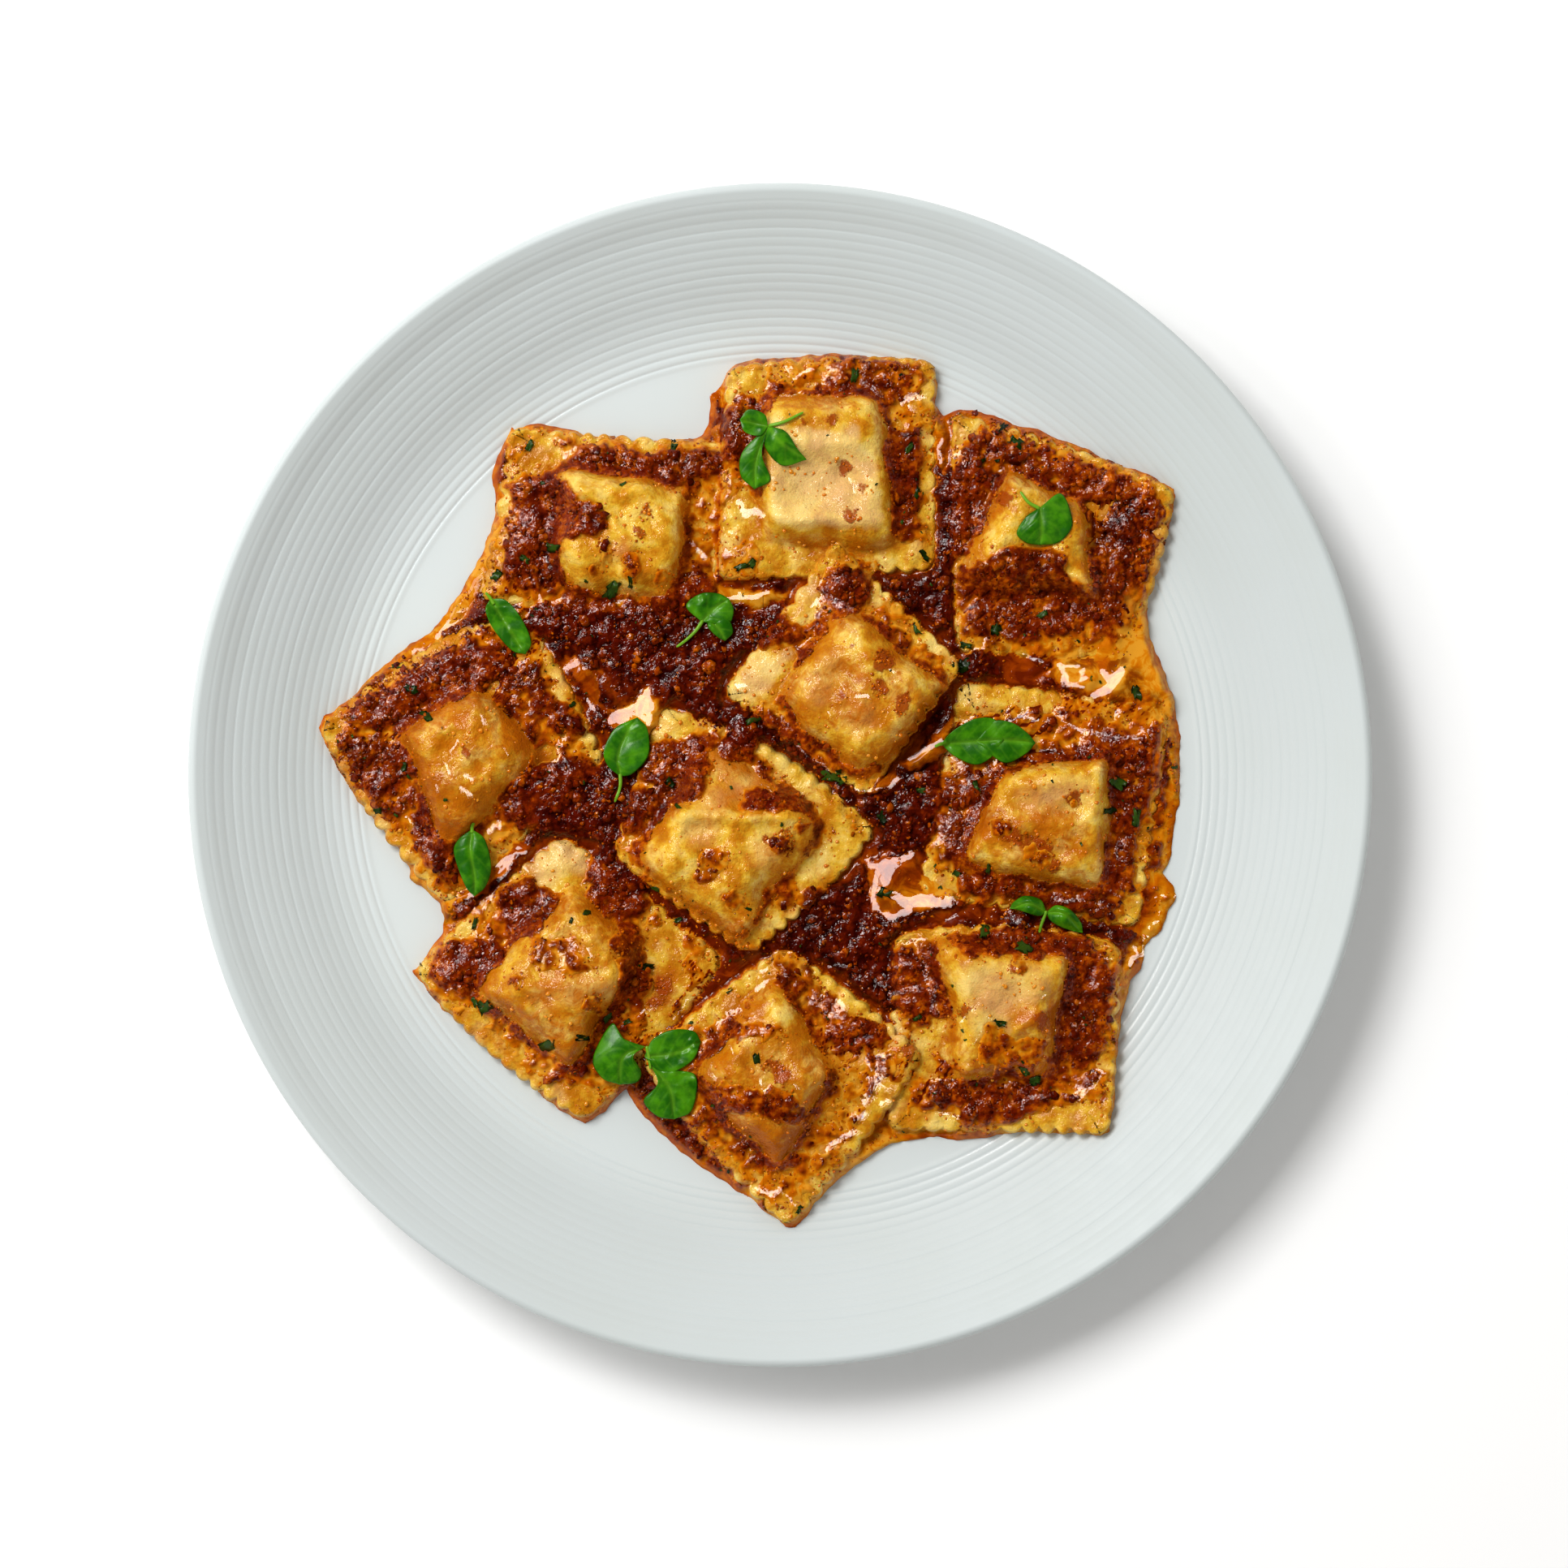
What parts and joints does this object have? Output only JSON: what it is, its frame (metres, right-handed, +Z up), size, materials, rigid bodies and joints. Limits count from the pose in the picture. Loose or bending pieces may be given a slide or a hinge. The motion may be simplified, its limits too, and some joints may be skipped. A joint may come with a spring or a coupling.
{
  "type": "plated ravioli",
  "caption": "Square fluted ravioli in a tomato and mince sauce with basil leaves, served on a round white plate with a ribbed rim.",
  "frame": {"origin": "middle of the plate's foot ring, in the plane it stands on", "axes": "+Z up out of the table, +Y towards the top of the plate as it is served, +X to the right"},
  "size_m": [0.3, 0.3, 0.0237],
  "materials": {
    "porcelain": "white glaze, glossy",
    "pasta": "cooked egg pasta, moist, with oil and sauce on it",
    "sauce": "oily tomato sauce with mince, wet",
    "basil": "fresh basil leaf, satin"
  },
  "bodies": {
    "root": {"plate": "porcelain", "ravioli_1": "pasta", "ravioli_2": "pasta", "ravioli_3": "pasta", "ravioli_4": "pasta", "ravioli_5": "pasta", "ravioli_6": "pasta", "ravioli_7": "pasta", "ravioli_8": "pasta", "ravioli_9": "pasta", "ravioli_10": "pasta", "sauce": "sauce", "basil_1": "basil", "basil_2": "basil", "basil_3": "basil", "basil_4": "basil", "basil_5": "basil", "basil_6": "basil", "basil_7": "basil", "basil_8": "basil", "basil_9": "basil"}
  },
  "joints": []
}
